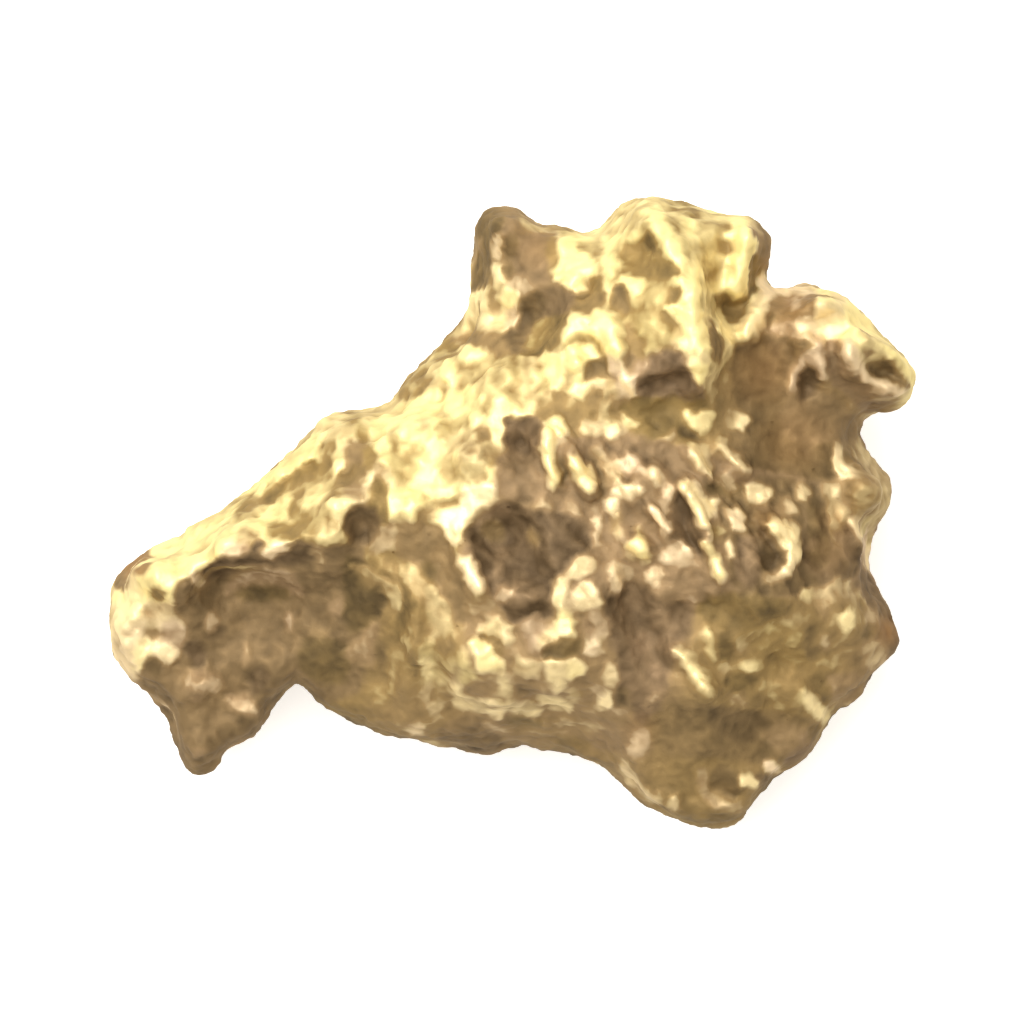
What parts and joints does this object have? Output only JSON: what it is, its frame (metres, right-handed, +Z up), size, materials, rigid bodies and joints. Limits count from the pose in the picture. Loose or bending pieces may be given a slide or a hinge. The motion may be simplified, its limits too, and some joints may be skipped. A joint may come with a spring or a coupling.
{
  "type": "gold nugget",
  "caption": "Natural gold nugget lying on its broad side, with a blunt arm, prongs, a hollow, pits and a pebbled, water-worn surface.",
  "frame": {"origin": "middle of the footprint's bounding box, on the surface that the nugget rests on", "axes": "+X along the longest extent, from the blunt arm to the beaked prong; +Y across, towards the two prongs; +Z up, out of the surface it lies on, along the shortest extent"},
  "size_m": [0.02, 0.0158, 0.0081],
  "materials": {
    "native_gold": null
  },
  "bodies": {
    "root": {"gold_nugget": "native_gold"}
  },
  "joints": []
}
